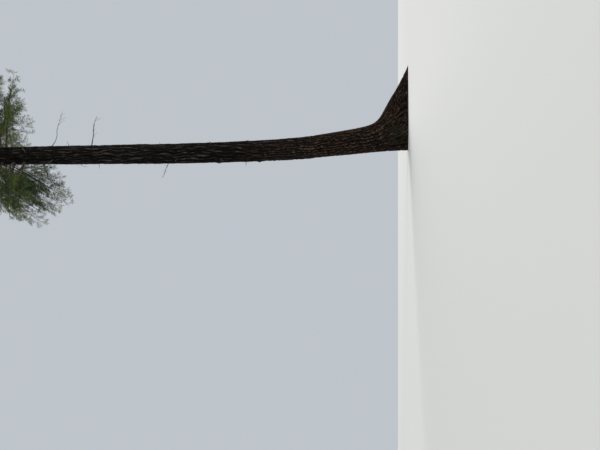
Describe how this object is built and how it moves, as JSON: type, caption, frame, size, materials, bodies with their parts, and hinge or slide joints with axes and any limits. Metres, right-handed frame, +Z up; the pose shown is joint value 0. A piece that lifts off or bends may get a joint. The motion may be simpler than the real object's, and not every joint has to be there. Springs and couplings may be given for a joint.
{
  "type": "douglas fir tree",
  "caption": "Tall forest conifer with a long bare furrowed trunk, a sweeping root flare at its foot, dead lower limbs and a narrow crown of drooping boughs.",
  "frame": {"origin": "on the flat cut under the trunk at ground level, near the middle of the foot", "axes": "+Z up along the trunk, +X towards the side where the big root sweeps out, which is the right of the tree in the picture"},
  "size_m": [7.088, 7.5844, 38.5],
  "materials": {
    "bark": "rough furrowed bark",
    "bough_bark": "thin scaly bark",
    "dead_wood": "weathered grey dead limb",
    "needles": "mass of matt green needles"
  },
  "bodies": {
    "root": {"bough_01": "bough_bark", "bough_02": "bough_bark", "bough_03": "bough_bark", "bough_04": "bough_bark", "bough_05": "bough_bark", "bough_06": "bough_bark", "bough_07": "bough_bark", "bough_08": "bough_bark", "bough_09": "bough_bark", "bough_10": "bough_bark", "bough_11": "bough_bark", "bough_12": "bough_bark", "bough_13": "bough_bark", "bough_14": "bough_bark", "bough_15": "bough_bark", "bough_16": "bough_bark", "dead_limb_left": "dead_wood", "dead_limb_low": "dead_wood", "dead_limb_right": "dead_wood", "foliage_01": "needles", "foliage_02": "needles", "foliage_03": "needles", "foliage_04": "needles", "foliage_05": "needles", "foliage_06": "needles", "foliage_07": "needles", "foliage_08": "needles", "foliage_09": "needles", "foliage_10": "needles", "foliage_11": "needles", "foliage_12": "needles", "foliage_13": "needles", "foliage_14": "needles", "foliage_15": "needles", "foliage_16": "needles", "foliage_17": "needles", "foliage_18": "needles", "foliage_19": "needles", "foliage_20": "needles", "foliage_21": "needles", "foliage_22": "needles", "foliage_23": "needles", "foliage_24": "needles", "foliage_25": "needles", "foliage_26": "needles", "foliage_27": "needles", "foliage_28": "needles", "foliage_29": "needles", "foliage_30": "needles", "foliage_31": "needles", "foliage_32": "needles", "foliage_33": "needles", "foliage_34": "needles", "foliage_35": "needles", "foliage_36": "needles", "foliage_37": "needles", "foliage_38": "needles", "foliage_leader": "needles", "trunk": "bark"}
  },
  "joints": []
}
